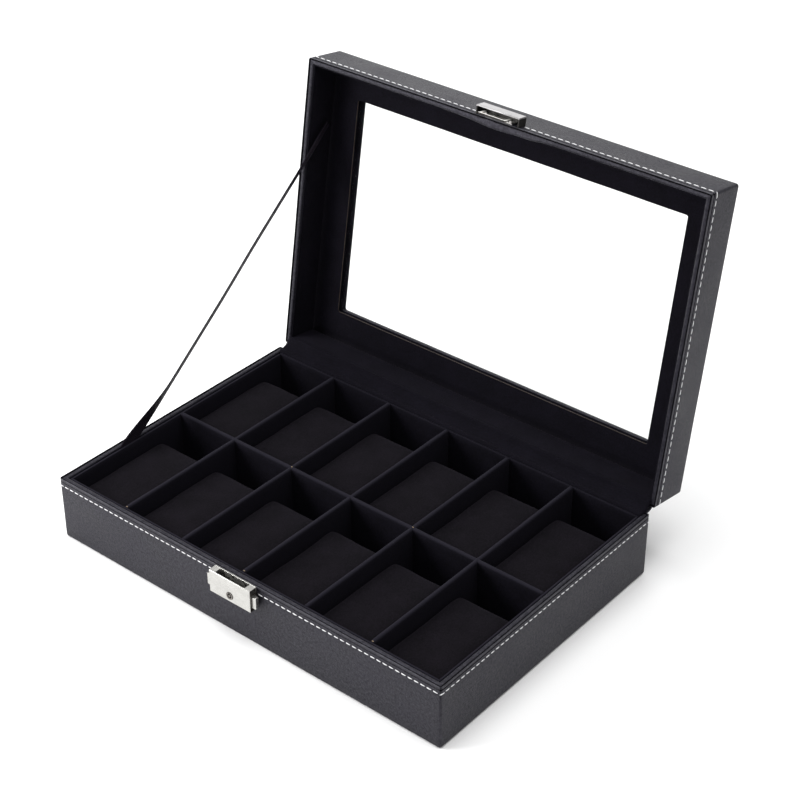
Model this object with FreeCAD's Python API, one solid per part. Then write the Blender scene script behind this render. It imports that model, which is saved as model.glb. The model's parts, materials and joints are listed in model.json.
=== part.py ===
import FreeCAD, Part
import math
import os

# A twelve-slot watch box: a velvet-lined base with lift-out pillows, a glazed lid on a cloth hinge,
# a lid strap and a two-button key lock. Millimetres. The origin is the centre of the underside,
# +X runs along the long side, -Y is the front with the lock, +Z is up. The lid is built closed and
# then turned open about the hinge line, because open is the rest pose.

Vector = FreeCAD.Vector

# ---- outer size -------------------------------------------------------------------------------
box_length = 300.0
box_width = 200.0
base_height = 44.5
lid_height = 29.6
rim_gap = 0.3  # between the closed lid and the base
lid_edge_radius = 1.2
lid_lining_step = 1.0  # from the lid's rim wrap to the edge of its linings
opening_angle = 99.2

# ---- walls ------------------------------------------------------------------------------------
skin = 0.8  # stitched outer leather
wrap = 0.4  # thin leather wrapped over the board edges
board = 2.4  # side boards
corner_radius = 1.6
rim_step = 0.2  # from the cover's edge to the wrap over the boards
wrap_depth = 12.0  # how far the wrap reaches down a board
felt = 0.6
felt_inset = 4.0
bottom_board = 3.0
floor_lining = 1.0
base_lining = 1.5
lid_lining = 0.8
lining_play = 0.2  # around the floor lining
lining_gap = 0.6  # groove between the rim and the base lining

# ---- compartments -----------------------------------------------------------------------------
columns = 6
divider = 3.0
divider_height = 44.0  # above the table
divider_rounding = 1.2
lining_height = 43.4
slot_play = 0.05  # each side of a cross-lap slot
pillow_length = 73.0
pillow_height = 31.0
pillow_side_gap = 0.6
pillow_front_gap = 0.6
pillow_floor_gap = 0.1
pillow_radius = 6.0

# ---- lid --------------------------------------------------------------------------------------
window_length = 249.2
window_width = 148.6
window_turn_in = 0.6  # leather folded into the window
top_board = 3.0
glass = 2.0
glass_overlap = 6.4
glass_play = 0.2
card = 1.2
card_window_margin = 0.9  # the card's window is this much larger on each side

# ---- cloth hinge and strap --------------------------------------------------------------------
hinge_y = 102.9
hinge_z = 43.1
hinge_tuck = 8.0  # how far the outer strip is let into the base and lid covers
hinge_length = 291.0
hinge_play = 0.2  # around the outer strip in its recesses
hinge_web = 2.2  # height of each recess that the outer strip bridges freely
inner_gap = 0.05  # between the inner strip and what it lies on
inner_start = 0.4  # from the rim's inner edge, and from its outer edge
inner_crease = (2.3, 0.9)  # past the outer edge, and above the rim, where the strip creases
inner_turn = (0.2, -0.1)  # from the lid's lining, and from the lid's edge, where it turns in
inner_landing = 1.7  # from the lid's edge to where it meets the lining
inner_end = 7.2
inner_side_gap = 1.0
outer_strip = 0.6
inner_strip = 0.5
strap_width = 10.5
strap_thickness = 0.4
strap_base = (-44.3, 44.5)  # y, z where the strap leaves the rim groove
strap_lid = (-56.1, 62.0)  # y, z of its upper end, lid closed
strap_tuck = 8.0
strap_lower_gap = 0.1  # from the rim wrap at the groove
strap_upper_gap = 0.25  # from the lid's left lining

# ---- clasp ------------------------------------------------------------------------------------
clasp_width = 32.0
clasp_depth = 6.0
plate = 0.8
lock_bottom = 28.8
lock_top = 44.2
hasp_top = 52.2
keyhole_z = 33.1
core_radius = 2.5
core_play = 0.06
leg_inner = 8.4
leg_outer = 10.0
loop_back = -102.9  # y faces of the loop's flat stock
loop_front = -104.0
loop_bottom = 38.6
loop_bar = 1.0
button_bottom = 31.8
button_top = 39.6
button_reach = 19.2
button_front = -104.6  # y faces of the release buttons
button_back = -101.8
button_round = 0.5
button_stop = 0.8  # thickness of the flange that keeps a button in
stop_margin = 0.9  # how far that flange stands past the tab, above and below
wall_play = 0.1  # between the cover's wall and a button's flange
window_play = 0.3  # around a button where it passes the cover's wall
arm_bottom = 34.8
arm_top = 37.0
finger_front = -105.05
finger_back = -104.25
finger_width = 1.6
finger_top = 42.4
post_x = 6.6
post_width = 0.8
post_half = 1.4
post_front = -104.2
spring_z = 32.9
spring_radius = 1.1
spring_wire = 0.2
spring_turns = 6
clasp_edge = 0.4  # rounding of the outer edges
mouth_play = 1.6  # beside each leg of the loop, where it enters the lock
core_proud = 0.3
core_tail = -102.4
collar_radius = 3.4
collar_back = -104.0
keyway_outer = 1.6
keyway_inner = 0.8
keyway_depth = 2.4
notch_half = 0.45
notch_reach = (1.0, 2.2)
cam_half = 1.2
cam_reach = 3.0
rivet_radius = 0.9
rivet_head = 1.3
rivet_head_height = 0.5
lock_rivet_x = 13.2
lock_rivet_z = 41.6
hasp_rivet_x = 4.6
hasp_rivet_z = 49.4
loop_plate = (46.4, 51.2)  # heights of the loop's riveted plate
loop_path = [  # y, z along the middle of a leg
    (-100.5, 50.9),
    (-100.5, 47.4),
    (-101.2, 46.2),
    (-103.3, 45.2),
    (-103.3, 38.6),
]
leg_stock = 0.9
loop_hole_depth = 3.0
through = 1.0  # how far a cutting tool runs past a face

# ---- worked out -------------------------------------------------------------------------------
half_length = box_length / 2
half_width = box_width / 2
lid_bottom = base_height + rim_gap
lid_top = lid_bottom + lid_height
front = -half_width
wall = skin + wrap + board + wrap
board_out = skin + wrap  # from the outer face to a board
board_in = board_out + board
bottom_top = felt + skin + bottom_board
floor_top = bottom_top + floor_lining
cavity_x = half_length - wall - lining_gap - base_lining
cavity_y = half_width - wall - lining_gap - base_lining
column_width = (2 * cavity_x - (columns - 1) * divider) / columns
column_pitch = column_width + divider
lid_board_top = lid_top - skin - top_board
card_top = lid_board_top - glass
card_bottom = card_top - card
window_x = window_length / 2
window_y = window_width / 2


# ---- helpers ----------------------------------------------------------------------------------
def block(x, y, z):
    """A box between two values on each axis."""
    return Part.makeBox(x[1] - x[0], y[1] - y[0], z[1] - z[0], Vector(x[0], y[0], z[0]))


def centred(half_x, half_y, z, radius=0.0):
    """A box centred on the Z axis, with rounded upright corners."""
    shape = block((-half_x, half_x), (-half_y, half_y), z)
    if radius:
        upright = [e for e in shape.Edges if abs(e.tangentAt(e.FirstParameter).z) > 0.99]
        shape = shape.makeFillet(radius, upright)
    return shape


def cylinder_y(radius, x, y, z):
    """A cylinder along Y between two values of y."""
    return Part.makeCylinder(radius, y[1] - y[0], Vector(x, y[0], z), Vector(0, 1, 0))


def ring(half_x, half_y, thickness, z):
    """A rectangular ring of one wall thickness."""
    return centred(half_x, half_y, z).cut(centred(half_x - thickness, half_y - thickness, z))


def mirrored(shape):
    """The same shape on the other side of the X = 0 plane."""
    return shape.mirror(Vector(0, 0, 0), Vector(1, 0, 0))


def opened(y, z):
    """Where a point of the closed lid's section lies when the lid is open."""
    turn = math.radians(opening_angle)
    dy = y - hinge_y
    dz = z - hinge_z
    return (
        hinge_y + dy * math.cos(turn) + dz * math.sin(turn),
        hinge_z - dy * math.sin(turn) + dz * math.cos(turn),
    )


def strip_section(points, thickness, half_x):
    """A cloth strip: a path of (y, z) points, thickened to both sides and extended along X."""
    left, right = [], []
    for i, (y, z) in enumerate(points):
        before = points[max(i - 1, 0)]
        after = points[min(i + 1, len(points) - 1)]
        run = math.hypot(after[0] - before[0], after[1] - before[1])
        ny = -(after[1] - before[1]) / run
        nz = (after[0] - before[0]) / run
        left.append(Vector(-half_x, y + ny * thickness / 2, z + nz * thickness / 2))
        right.append(Vector(-half_x, y - ny * thickness / 2, z - nz * thickness / 2))
    outline = left + right[::-1]
    face = Part.Face(Part.makePolygon(outline + [outline[0]]))
    return face.extrude(Vector(2 * half_x, 0, 0))


def rivet(x, z, head_y, tip_y):
    """A small rivet along Y whose head lies in front of head_y."""
    head = cylinder_y(rivet_head, x, (head_y - rivet_head_height, head_y), z)
    return cylinder_y(rivet_radius, x, (head_y, tip_y), z).fuse(head)


def save(name, shape):
    shape.exportStep(f"parts/{name}.step")


def save_lid(name, shape):
    """Turns a piece of the closed lid to the open rest pose and saves it."""
    turned = shape.copy()
    turned.rotate(Vector(0, hinge_y, hinge_z), Vector(1, 0, 0), -opening_angle)
    save(name, turned)


# ---- base carcass -----------------------------------------------------------------------------
def side_boards(z):
    """Front, back, left and right boards between two heights."""
    out_x = half_length - board_out
    in_x = half_length - board_in
    out_y = half_width - board_out
    in_y = half_width - board_in
    return {
        "front": block((-out_x, out_x), (-out_y, -in_y), z),
        "back": block((-out_x, out_x), (in_y, out_y), z),
        "left": block((-out_x, -in_x), (-in_y, in_y), z),
        "right": block((in_x, out_x), (-in_y, in_y), z),
    }


def rim_wrap(z, board_z):
    """Leather over the heights z, folded over the boards' edge. The boards fill board_z."""
    channel = ring(half_length - skin, half_width - skin, wall - skin, z)
    return channel.cut(ring(half_length - board_out, half_width - board_out, board, board_z))


def base_cover():
    body = centred(half_length, half_width, (felt, base_height), corner_radius)
    inside = centred(
        half_length - skin, half_width - skin, (felt + skin, base_height), corner_radius - skin
    )
    hinge_recess = block(
        (-hinge_length / 2, hinge_length / 2),
        (half_width - skin, half_width),
        (base_height - hinge_tuck, base_height),
    )
    return body.cut(inside).cut(hinge_recess)


def make_base():
    foot_x = half_length - felt_inset
    foot_y = half_width - felt_inset
    save("underside_felt", centred(foot_x, foot_y, (0, felt)))
    clasp_holes = cylinder_y(rivet_radius, lock_rivet_x, (front, front + wall), lock_rivet_z)
    clasp_holes = clasp_holes.fuse(mirrored(clasp_holes))
    save("base_leather_cover", base_cover().cut(clasp_holes))
    rim = base_height - rim_step
    boards = side_boards((felt + skin, rim - wrap))
    boards["front"] = boards["front"].cut(clasp_holes)
    for side, shape in boards.items():
        save(f"base_{side}_board", shape)
    low = rim - wrap_depth
    save("base_rim_wrap", rim_wrap((low, rim), (low, rim - wrap)).cut(clasp_holes))
    inner_x = half_length - board_in
    inner_y = half_width - board_in
    save("base_bottom_board", centred(inner_x, inner_y, (felt + skin, bottom_top)))
    floor = centred(inner_x - lining_play, inner_y - lining_play, (bottom_top, floor_top))
    save("base_floor_lining", floor)
    out_x = cavity_x + base_lining
    out_y = cavity_y + base_lining
    height = (floor_top, lining_height)
    save("base_front_lining", block((-out_x, out_x), (-out_y, -cavity_y), height))
    save("base_back_lining", block((-out_x, out_x), (cavity_y, out_y), height))
    save("base_left_lining", block((-out_x, -cavity_x), (-cavity_y, cavity_y), height))
    save("base_right_lining", block((cavity_x, out_x), (-cavity_y, cavity_y), height))


# ---- dividers and pillows ---------------------------------------------------------------------
def top_rounded(shape, along_x):
    """Rounds the two long top edges of a divider."""
    edges = []
    for edge in shape.Edges:
        direction = edge.tangentAt(edge.FirstParameter)
        along = abs(direction.x if along_x else direction.y) > 0.99
        if along and edge.CenterOfMass.z > divider_height - 0.01:
            edges.append(edge)
    return shape.makeFillet(divider_rounding, edges)


def make_dividers():
    half = divider / 2
    middle = (floor_top + divider_height) / 2
    height = (floor_top, divider_height)
    long_divider = top_rounded(block((-cavity_x, cavity_x), (-half, half), height), True)
    for i in range(columns - 1):
        x = (i - (columns - 2) / 2) * column_pitch
        cross = top_rounded(block((x - half, x + half), (-cavity_y, cavity_y), height), False)
        reach = half + slot_play
        slot_below = block((x - half, x + half), (-reach, reach), (floor_top, middle))
        save(f"cross_divider_{i + 1}", cross.cut(slot_below))
        slot_above = block((x - reach, x + reach), (-half, half), (middle, divider_height))
        long_divider = long_divider.cut(slot_above)
    save("long_divider", long_divider)


def pillow():
    """One watch pillow, centred in X, its front face at y = 0 and its underside at z = 0."""
    half = column_width / 2 - pillow_side_gap
    shape = block((-half, half), (0, pillow_length), (0, pillow_height))
    return shape.makeFillet(pillow_radius, shape.Edges)


def make_pillows():
    shape = pillow()
    rows = {"front": -cavity_y + pillow_front_gap, "rear": divider / 2 + pillow_front_gap}
    for row, y in rows.items():
        for i in range(columns):
            x = (i - (columns - 1) / 2) * column_pitch
            placed = shape.copy()
            placed.translate(Vector(x, y, floor_top + pillow_floor_gap))
            save(f"watch_pillow_{row}_{i + 1}", placed)


# ---- lid --------------------------------------------------------------------------------------
def lid_cover():
    body = centred(half_length, half_width, (lid_bottom, lid_top), corner_radius)
    rim_edges = [e for e in body.Edges if e.BoundBox.ZMin > lid_top - 0.01]
    body = body.makeFillet(lid_edge_radius, rim_edges)
    inside = centred(
        half_length - skin, half_width - skin, (lid_bottom, lid_top - skin), corner_radius - skin
    )
    turn_in = centred(
        window_x + window_turn_in, window_y + window_turn_in, (lid_board_top, lid_top - skin)
    )
    window = centred(window_x, window_y, (lid_board_top, lid_top))
    hinge_recess = block(
        (-hinge_length / 2, hinge_length / 2),
        (half_width - skin, half_width),
        (lid_bottom, lid_bottom + hinge_tuck),
    )
    return body.cut(inside).fuse(turn_in).cut(window).cut(hinge_recess)


def make_lid():
    holes = cylinder_y(rivet_radius, hasp_rivet_x, (front, front + wall), hasp_rivet_z)
    holes = holes.fuse(mirrored(holes))
    save_lid("lid_leather_cover", lid_cover().cut(holes))
    edge = lid_bottom + rim_step
    boards = side_boards((edge + wrap, lid_board_top))
    boards["front"] = boards["front"].cut(holes)
    for side, shape in boards.items():
        save_lid(f"lid_{side}_board", shape)
    high = edge + wrap_depth
    save_lid("lid_rim_wrap", rim_wrap((edge, high), (edge + wrap, high)).cut(holes))
    hole = centred(
        window_x + window_turn_in, window_y + window_turn_in, (lid_board_top, lid_top - skin)
    )
    top = centred(half_length - skin, half_width - skin, (lid_board_top, lid_top - skin))
    save_lid("lid_top_frame", top.cut(hole))
    glass_x = window_x + glass_overlap
    glass_y = window_y + glass_overlap
    save_lid("glass_pane", centred(glass_x, glass_y, (card_top, lid_board_top)))
    inner_x = half_length - wall
    inner_y = half_width - wall
    frame = centred(inner_x, inner_y, (card_bottom, lid_board_top))
    frame = frame.cut(centred(glass_x + glass_play, glass_y + glass_play, (card_top, lid_board_top)))
    margin = card_window_margin
    frame = frame.cut(centred(window_x + margin, window_y + margin, (card_bottom, card_top)))
    save_lid("lid_lining_frame", frame)
    height = (edge + lid_lining_step, card_bottom)
    face_x = inner_x - lid_lining
    face_y = inner_y - lid_lining
    save_lid("lid_front_lining", block((-inner_x, inner_x), (-inner_y, -face_y), height))
    save_lid("lid_back_lining", block((-inner_x, inner_x), (face_y, inner_y), height))
    save_lid("lid_left_lining", block((-inner_x, -face_x), (-face_y, face_y), height))
    save_lid("lid_right_lining", block((face_x, inner_x), (-face_y, face_y), height))


# ---- hinge cloth and strap --------------------------------------------------------------------
def make_hinge():
    # The outer leather strip is flush in the recesses of both covers and spans the gap.
    y = half_width - skin / 2
    outer_path = [
        (y, base_height - hinge_tuck + hinge_play),
        (y, base_height - hinge_web),
        opened(y, lid_bottom + hinge_web),
        opened(y, lid_bottom + hinge_tuck - hinge_play),
    ]
    half_x = hinge_length / 2 - hinge_play
    save("outer_hinge_strip", strip_section(outer_path, outer_strip, half_x))
    # The inner velvet strip lies on the back rim, crosses the gap and turns onto the lid's lining.
    rim = base_height - rim_step + inner_strip / 2 + inner_gap
    lining_face = half_width - wall - lid_lining - inner_strip / 2 - inner_gap
    inner_path = [
        (half_width - wall + inner_start, rim),
        (half_width - inner_start, rim),
        (half_width + inner_crease[0], rim + inner_crease[1]),
        opened(lining_face + inner_turn[0], lid_bottom + inner_turn[1]),
        opened(lining_face, lid_bottom + inner_landing),
        opened(lining_face, lid_bottom + inner_end),
    ]
    half_x = half_length - wall - inner_side_gap
    save("inner_hinge_strip", strip_section(inner_path, inner_strip, half_x))


def make_strap():
    """A flat ribbon, straight and tight, from the left rim groove to the lid's left lining."""
    lower = Vector(-half_length + wall + strap_lower_gap, strap_base[0], strap_base[1])
    y, z = opened(*strap_lid)
    upper = Vector(-half_length + wall + lid_lining + strap_upper_gap, y, z)
    along = upper.sub(lower)
    along.normalize()
    across = Vector(0, -along.z, along.y)
    across.normalize()
    across.multiply(strap_width / 2)
    lower = lower.sub(along * strap_tuck)
    corners = [lower.sub(across), lower.add(across), upper.add(across), upper.sub(across)]
    face = Part.Face(Part.makePolygon(corners + [corners[0]]))
    save("restraint_strap", face.extrude(Vector(strap_thickness, 0, 0)))


# ---- lock on the base -------------------------------------------------------------------------

def lock_cover():
    half = clasp_width / 2
    face = front - clasp_depth
    inner_back = front - plate
    shell = block((-half, half), (face, inner_back), (lock_bottom, lock_top))
    edges = [e for e in shell.Edges if e.BoundBox.YMax < face + 0.01]
    shell = shell.makeFillet(clasp_edge, edges)
    room = (lock_bottom + plate, lock_top - plate)
    shell = shell.cut(block((plate - half, half - plate), (face + plate, inner_back), room))
    mouth = leg_outer + mouth_play
    shell = shell.cut(block((-mouth, mouth), (face + plate, inner_back), (room[1], lock_top)))
    play = window_play
    window = block(
        (-half - through, half + through),
        (button_front - play, button_back + play),
        (button_bottom - play, button_top + play),
    )
    shell = shell.cut(window)
    depth = (face - through, face + plate + through)
    keyhole = cylinder_y(core_radius + core_play, 0, depth, keyhole_z)
    return shell.cut(keyhole)


def lock_core():
    """The key barrel: a round face with a ring-shaped keyway round a centre pin, and its cam."""
    face = front - clasp_depth - core_proud
    barrel = cylinder_y(core_radius, 0, (face, core_tail), keyhole_z)
    depth = (face, face + keyway_depth)
    keyway = cylinder_y(keyway_outer, 0, depth, keyhole_z)
    keyway = keyway.cut(cylinder_y(keyway_inner, 0, depth, keyhole_z))
    notch_z = (keyhole_z + notch_reach[0], keyhole_z + notch_reach[1])
    barrel = barrel.cut(keyway).cut(block((-notch_half, notch_half), depth, notch_z))
    cam_z = (keyhole_z - cam_reach, keyhole_z + cam_half)
    cam = block((-cam_half, cam_half), (core_tail, core_tail + through), cam_z)
    collar_front = front - clasp_depth + plate + wall_play
    collar = cylinder_y(collar_radius, 0, (collar_front, collar_back), keyhole_z)
    return barrel.fuse(collar).fuse(cam)


def button():
    """The right release button: a tab outside, a flange that keeps it in, an arm and a finger."""
    inner = clasp_width / 2 - plate - wall_play
    depth = (button_front, button_back)
    tab = block((inner - window_play, button_reach), depth, (button_bottom, button_top))
    outer = [e for e in tab.Edges if e.BoundBox.XMin > button_reach - 0.01]
    tab = tab.makeFillet(button_round, outer)
    stop_z = (button_bottom - stop_margin, button_top + stop_margin)
    stop = block((inner - button_stop, inner), depth, stop_z)
    finger_x = (post_x + post_width / 4 - finger_width, post_x + post_width / 4)
    arm = block((finger_x[0], inner - window_play), depth, (arm_bottom, arm_top))
    finger = block(finger_x, (finger_front, finger_back), (arm_bottom, finger_top))
    return tab.fuse(stop).fuse(arm).fuse(finger).removeSplitter()


def coil_spring(x):
    """A compression spring along X between the post and the button's flange."""
    pitch = (x[1] - x[0] - 2 * spring_wire) / spring_turns
    helix = Part.makeHelix(pitch, spring_turns * pitch, spring_radius)
    start = Part.Circle(Vector(spring_radius, 0, 0), Vector(0, 1, 0), spring_wire).toShape()
    coil = Part.Wire(helix.Edges).makePipeShell([Part.Wire(start)], True, True)
    coil.rotate(Vector(0, 0, 0), Vector(0, 1, 0), 90)
    coil.translate(Vector(x[0] + spring_wire, (button_front + button_back) / 2, spring_z))
    return coil


def make_lock():
    half = clasp_width / 2
    back_plate = block((-half, half), (front - plate, front), (lock_bottom, lock_top))
    holes = cylinder_y(rivet_radius, lock_rivet_x, (front - plate, front), lock_rivet_z)
    post_z = (spring_z - post_half, spring_z + post_half)
    post = block((post_x, post_x + post_width), (post_front, front - plate), post_z)
    back_plate = back_plate.cut(holes).cut(mirrored(holes)).fuse(post).fuse(mirrored(post))
    save("lock_back_plate", back_plate)
    save("lock_cover", lock_cover())
    save("lock_core", lock_core())
    right = button()
    save("lock_right_button", right)
    save("lock_left_button", mirrored(right))
    spring = coil_spring((post_x + post_width, half - plate - wall_play - button_stop))
    save("right_button_spring", spring)
    save("left_button_spring", mirrored(spring))
    right_rivet = rivet(lock_rivet_x, lock_rivet_z, front - plate, front + wall)
    save("lock_rivets", Part.makeCompound([right_rivet, mirrored(right_rivet)]))


# ---- hasp on the lid, drawn closed ------------------------------------------------------------
def hasp_shell():
    """The bent outer plate: front, top and two end walls, open below and behind."""
    half = clasp_width / 2
    face = front - clasp_depth
    shell = block((-half, half), (face, front), (lid_bottom, hasp_top))
    edges = [e for e in shell.Edges if e.BoundBox.YMax < face + 0.01]
    shell = shell.makeFillet(clasp_edge, edges)
    return shell.cut(
        block((plate - half, half - plate), (face + plate, front), (lid_bottom, hasp_top - plate))
    )


def hasp_loop():
    """Two bent legs and a cross bar, cut from one flat plate that is riveted to the lid."""
    plate_part = block((-leg_outer, leg_outer), (front - plate, front), loop_plate)
    legs = []
    for side in (-1, 1):
        leg = strip_section(loop_path, leg_stock, (leg_outer - leg_inner) / 2)
        leg.translate(Vector(side * (leg_inner + leg_outer) / 2, 0, 0))
        legs.append(leg)
    bar_z = (loop_bottom, loop_bottom + loop_bar)
    bar = block((-leg_outer, leg_outer), (loop_front, loop_back), bar_z)
    depth = (front - loop_hole_depth, front)
    holes = cylinder_y(rivet_radius, hasp_rivet_x, depth, hasp_rivet_z)
    plate_part = plate_part.cut(holes).cut(mirrored(holes))
    return plate_part.fuse(legs + [bar]).removeSplitter()


def make_hasp():
    save_lid("hasp_plate", hasp_shell())
    save_lid("hasp_loop", hasp_loop())
    right_rivet = rivet(hasp_rivet_x, hasp_rivet_z, front - plate, front + wall)
    save_lid("hasp_rivets", Part.makeCompound([right_rivet, mirrored(right_rivet)]))


os.makedirs("parts", exist_ok=True)
make_base()
make_dividers()
make_pillows()
make_lid()
make_hinge()
make_strap()
make_lock()
make_hasp()
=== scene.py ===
"""Watch box: leather, velvet, thread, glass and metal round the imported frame. Metres throughout."""
import json
import math

import bmesh
import bpy
from mathutils import Matrix, Vector, noise


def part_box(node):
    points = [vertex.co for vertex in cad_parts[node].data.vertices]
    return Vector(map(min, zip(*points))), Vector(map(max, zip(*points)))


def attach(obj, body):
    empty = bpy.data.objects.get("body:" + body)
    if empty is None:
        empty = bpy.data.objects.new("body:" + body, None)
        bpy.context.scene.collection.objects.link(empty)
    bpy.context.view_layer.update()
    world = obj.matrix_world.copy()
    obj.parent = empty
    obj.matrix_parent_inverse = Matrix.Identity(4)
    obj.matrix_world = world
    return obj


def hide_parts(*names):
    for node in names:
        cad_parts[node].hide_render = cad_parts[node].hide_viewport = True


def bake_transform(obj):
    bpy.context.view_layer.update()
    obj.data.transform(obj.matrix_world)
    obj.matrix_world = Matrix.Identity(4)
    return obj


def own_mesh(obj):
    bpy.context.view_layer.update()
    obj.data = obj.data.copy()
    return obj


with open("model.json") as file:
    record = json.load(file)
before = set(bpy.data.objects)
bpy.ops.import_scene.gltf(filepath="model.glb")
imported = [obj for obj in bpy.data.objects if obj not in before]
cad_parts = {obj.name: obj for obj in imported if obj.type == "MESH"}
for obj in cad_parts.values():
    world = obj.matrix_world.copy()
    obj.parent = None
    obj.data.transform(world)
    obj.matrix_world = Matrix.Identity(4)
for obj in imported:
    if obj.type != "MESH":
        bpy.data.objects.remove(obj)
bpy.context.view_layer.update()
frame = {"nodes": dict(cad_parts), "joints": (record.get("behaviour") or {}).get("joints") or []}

mm = 0.001

# ---- driving values ----
camera_at = Vector((0.61703, -0.69760, 0.72388))
camera_azimuth = 39.65
camera_elevation = 33.24
camera_lens = 85.52

corner_radius = 1.6 * mm
inner_corner = 0.35 * mm
cover_skin = 0.85 * mm
lip_skin = 0.35 * mm
turned_under = 14 * mm
row_step = 8 * mm
corner_steps = 6
long_steps = 150
short_steps = 100

press_depth = 2.3 * mm
cover_edge = 0.7 * mm
rim_edge = 0.8 * mm

stitch_below_rim = 4.9 * mm
base_stitch_pitch = 4.4 * mm
lid_stitch_pitch = 4.9 * mm
stitch_gap = 0.75 * mm
thread_width = 0.68 * mm
thread_height = 0.52 * mm
stitch_rings = 7
stitch_sides = 8

window_x = 123.4 * mm
window_y = 74.2 * mm
window_return = 4.6 * mm
window_corner = 1.7 * mm
card_left = -124.8 * mm
card_right = 125.3 * mm
card_front = -74.5 * mm
card_back = 74.45 * mm

board_step = 4 * mm
divider_bend = 1.25 * mm
divider_rough = 0.20 * mm
# Painted highlight along board top edges: its strength on the dividers and how far down it reaches.
divider_pale = 0.75
pale_reach = 1.7 * mm
# Painted light on the base boards' faces towards +X.
lining_side_light = 0.28
pillow_voxel = 3 * mm
pillow_room = 1.2 * mm
pillow_frames = 20
pillow_round = 0.11
pillow_swell = 3.0 * mm
pillow_inset = 0.35 * mm
pillow_cloth = {
    "use_pressure": True,
    "uniform_pressure_force": 4.0,
    "quality": 6,
    "tension_stiffness": 40,
    "compression_stiffness": 20,
    "bending_stiffness": 2.0,
}

hinge_proud = 0.45 * mm
hinge_overlap = 1.8 * mm
hinge_columns = 146

strap_rows = 110
strap_columns = 7
strap_width = 10.5 * mm
strap_low_y = -44.3 * mm
strap_high_y = -56.1 * mm
strap_high_z = 62.0 * mm
strap_turn = math.radians(30.5)
strap_bow = 2.8 * mm
strap_hug = -0.5 * mm
strap_sag = 5.1 * mm

metal_edge = 0.14 * mm
small_edge = 0.06 * mm
wood_edge = 0.6 * mm


# ---- the frame ----
hinge = next(j for j in frame["joints"] if j["name"] == "lid_hinge")
hinge_at = Vector(hinge["pos_m"])
to_open = (
    Matrix.Translation(hinge_at)
    @ Matrix.Rotation(math.radians(hinge["range_deg"][0]), 4, "X")
    @ Matrix.Translation(-hinge_at)
)
to_closed = to_open.inverted()


def closed_box(node):
    """A lid node's lowest and highest corners with the lid shut."""
    points = [to_closed @ v.co for v in frame["nodes"][node].data.vertices]
    low = Vector([min(p[i] for p in points) for i in range(3)])
    high = Vector([max(p[i] for p in points) for i in range(3)])
    return low, high


base_low, base_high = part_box("base_leather_cover")
base_rim_low, base_rim_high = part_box("base_rim_wrap")
lid_low, lid_high = closed_box("lid_leather_cover")
lid_rim_low, lid_rim_high = closed_box("lid_rim_wrap")
hinge_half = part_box("outer_hinge_strip")[1].x
clasp_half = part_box("lock_cover")[1].x
half_length = base_high.x
half_width = base_high.y
glass_low, glass_high = closed_box("glass_pane")


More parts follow.
